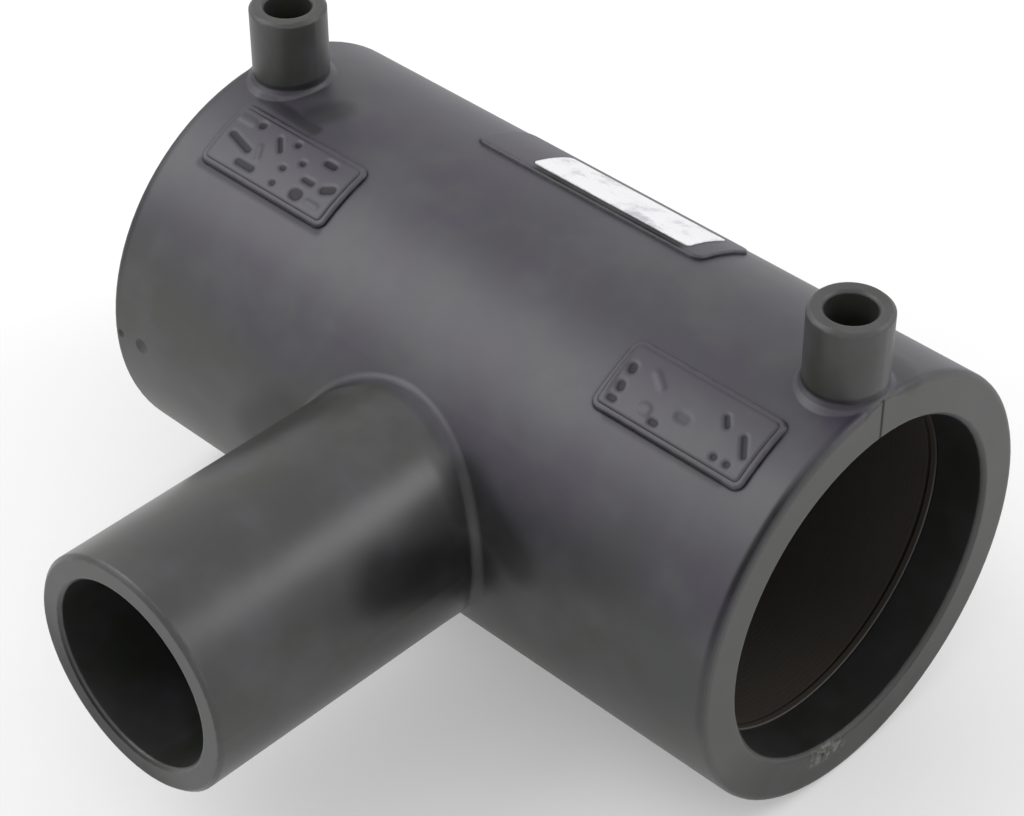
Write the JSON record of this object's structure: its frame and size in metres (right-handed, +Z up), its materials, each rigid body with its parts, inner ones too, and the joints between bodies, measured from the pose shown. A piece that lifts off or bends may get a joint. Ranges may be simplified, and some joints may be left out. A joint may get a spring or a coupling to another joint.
{
  "type": "electrofusion reducing tee",
  "caption": "Black plastic electrofusion reducing tee: a welding socket at each end of the run, a smaller plain spigot branch and a shrouded terminal above each socket.",
  "frame": {"origin": "where the axis of the run and the axis of the branch cross", "axes": "+X along the run to its right end, +Z up through the terminals, branch towards -Y"},
  "size_m": [0.2066, 0.1965, 0.1358],
  "materials": {
    "body_plastic": "satin",
    "coated_wire": "matte",
    "bare_wire": "drawn",
    "pin_metal": "polished",
    "label_film": "gloss"
  },
  "bodies": {
    "root": {"tee_body": "body_plastic", "left_heating_coil": "coated_wire", "right_heating_coil": "coated_wire", "link_wire": "bare_wire", "left_terminal_pin": "pin_metal", "right_terminal_pin": "pin_metal", "blank_label": "label_film"}
  },
  "joints": []
}
